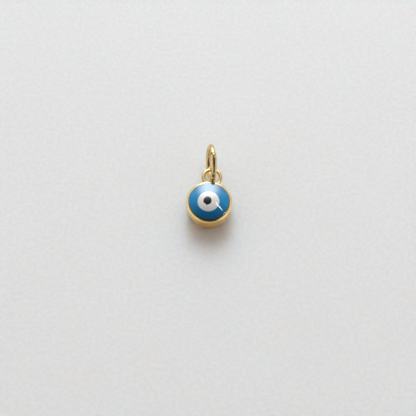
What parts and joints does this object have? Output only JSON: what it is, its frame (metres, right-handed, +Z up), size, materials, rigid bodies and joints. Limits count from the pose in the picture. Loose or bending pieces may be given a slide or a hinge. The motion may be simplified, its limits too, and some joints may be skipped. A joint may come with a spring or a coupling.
{
  "type": "evil eye pendant",
  "caption": "Small round evil eye charm: a domed blue glass eye with a white iris and black pupil in a gilt metal cup, with a soldered loop and an open jump ring to hang it from.",
  "frame": {"origin": "centre of the cup's flat back, on the surface that the pendant lies on", "axes": "+Z up, out of the glass eye's face; +Y from the cup towards the soldered loop and the ring; +X to the right, seen from above with the loop at the top"},
  "size_m": [0.007, 0.0131, 0.0059],
  "materials": {
    "gilt_brass": "polished light gold plating",
    "gilt_ring_wire": "bright gold-plated round wire",
    "blue_glass": "glossy opaque blue glass",
    "white_glass": "glossy opaque white glass",
    "black_glass": "glossy opaque black glass"
  },
  "bodies": {
    "root": {"bezel_cup": "gilt_brass", "blue_glass": "blue_glass", "white_iris": "white_glass", "black_pupil": "black_glass", "bail_ring": "gilt_ring_wire"}
  },
  "joints": []
}
